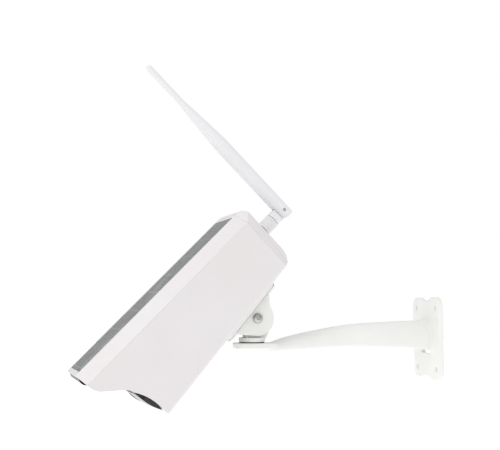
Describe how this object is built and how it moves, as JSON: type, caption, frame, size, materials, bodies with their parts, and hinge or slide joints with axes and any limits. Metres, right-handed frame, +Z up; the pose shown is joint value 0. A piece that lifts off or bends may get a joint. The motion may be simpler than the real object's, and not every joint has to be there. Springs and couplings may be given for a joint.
{
  "type": "solar-powered security camera",
  "caption": "Outdoor security camera with a solar panel on its sloping body, a foldable antenna and a cast wall bracket that pans and tilts.",
  "frame": {"origin": "middle of the wall plate, on the back face that lies on the wall", "axes": "+X out of the wall plate into the wall, so the arm reaches toward -X; +Z up; +Y completes a right-handed frame and runs along the wall"},
  "size_m": [0.3143, 0.105, 0.2864],
  "materials": {
    "bracket_paint": "satin powder coat",
    "shell_white": "fine satin",
    "antenna_white": "satin",
    "panel_glass": "polished",
    "cell_silicon": "polished",
    "board_green": "solder mask",
    "window_black": "polished",
    "clear_window": "polished",
    "lens_glass": "polished, coated",
    "black_plastic": "satin",
    "steel": "brushed",
    "seal_rubber": "matt",
    "flap_rubber": "matt",
    "brass": "plated",
    "battery_wrap": "shrink sleeve",
    "socket_metal": "brushed",
    "led_clear": "polished",
    "sensor_amber": "polished",
    "pin_steel": "brushed"
  },
  "bodies": {
    "bracket": {"wall_bracket": "bracket_paint", "pan_washer": "seal_rubber"},
    "swivel": {"swivel_yoke": "bracket_paint", "pan_screw": "steel"},
    "head": {"camera_foot": "bracket_paint", "foot_screws": "steel", "tilt_screw": "steel", "tilt_washers": "steel", "tilt_nut": "steel", "main_housing": "shell_white", "top_cover": "shell_white", "cover_screws": "steel", "cover_seal": "seal_rubber", "rear_cap": "shell_white", "rear_seal": "seal_rubber", "rear_cap_screws": "steel", "solar_glass": "panel_glass", "solar_cells": "cell_silicon", "solar_backboard": "board_green", "hood_window": "window_black", "ir_led_board": "board_green", "ir_leds": "led_clear", "light_sensor": "sensor_amber", "front_window": "window_black", "lens_window": "clear_window", "lens_barrel": "black_plastic", "front_lens": "lens_glass", "lens_holder": "black_plastic", "sensor_board": "board_green", "image_sensor": "black_plastic", "main_board": "board_green", "wifi_module": "socket_metal", "board_chips": "black_plastic", "board_screws": "steel", "battery_cells": "battery_wrap", "battery_tray": "black_plastic", "port_board": "board_green", "usb_socket": "socket_metal", "card_slot": "socket_metal", "reset_switch": "black_plastic", "antenna_jack": "brass", "jack_washer": "socket_metal", "jack_nut": "brass", "antenna_coupler": "antenna_white"},
    "antenna_base": {"antenna_knuckle": "antenna_white"},
    "antenna": {"antenna_whip": "antenna_white", "whip_core": "brass", "hinge_pin": "pin_steel"},
    "port_flap": {"port_flap": "flap_rubber"},
    "reset_button": {"reset_button": "black_plastic"}
  },
  "joints": [
    {"name": "pan", "type": "hinge", "parent": "bracket", "child": "swivel", "pos_m": [-0.16, 0, 0], "axis": [0, 0, 1], "range_deg": [-96, 74]},
    {"name": "tilt", "type": "hinge", "parent": "swivel", "child": "head", "pos_m": [-0.15809, 0.00037, 0.018], "axis": [0.1908, -0.9816, 0], "range_deg": [-60, 10]},
    {"name": "antenna_swivel", "type": "hinge", "parent": "head", "child": "antenna_base", "pos_m": [-0.1322, 0.0054, 0.11254], "axis": [0.6941, 0.1349, 0.7071], "range_deg": [-120, 120]},
    {"name": "antenna_fold", "type": "hinge", "parent": "antenna_base", "child": "antenna", "pos_m": [-0.1322, 0.0054, 0.11254], "axis": [-0.1908, 0.9816, 0], "range_deg": [0, 91]},
    {"name": "port_flap_hinge", "type": "hinge", "parent": "head", "child": "port_flap", "pos_m": [-0.21613, -0.01091, -0.02683], "axis": [-0.1908, 0.9816, 0], "range_deg": [0, 90]},
    {"name": "reset_press", "type": "slide", "parent": "head", "child": "reset_button", "axis": [-0.7498, -0.1457, 0.6455], "range_m": [0, 0.0005], "stiffness_N_per_m": 400, "springref_m": -0.0005}
  ]
}
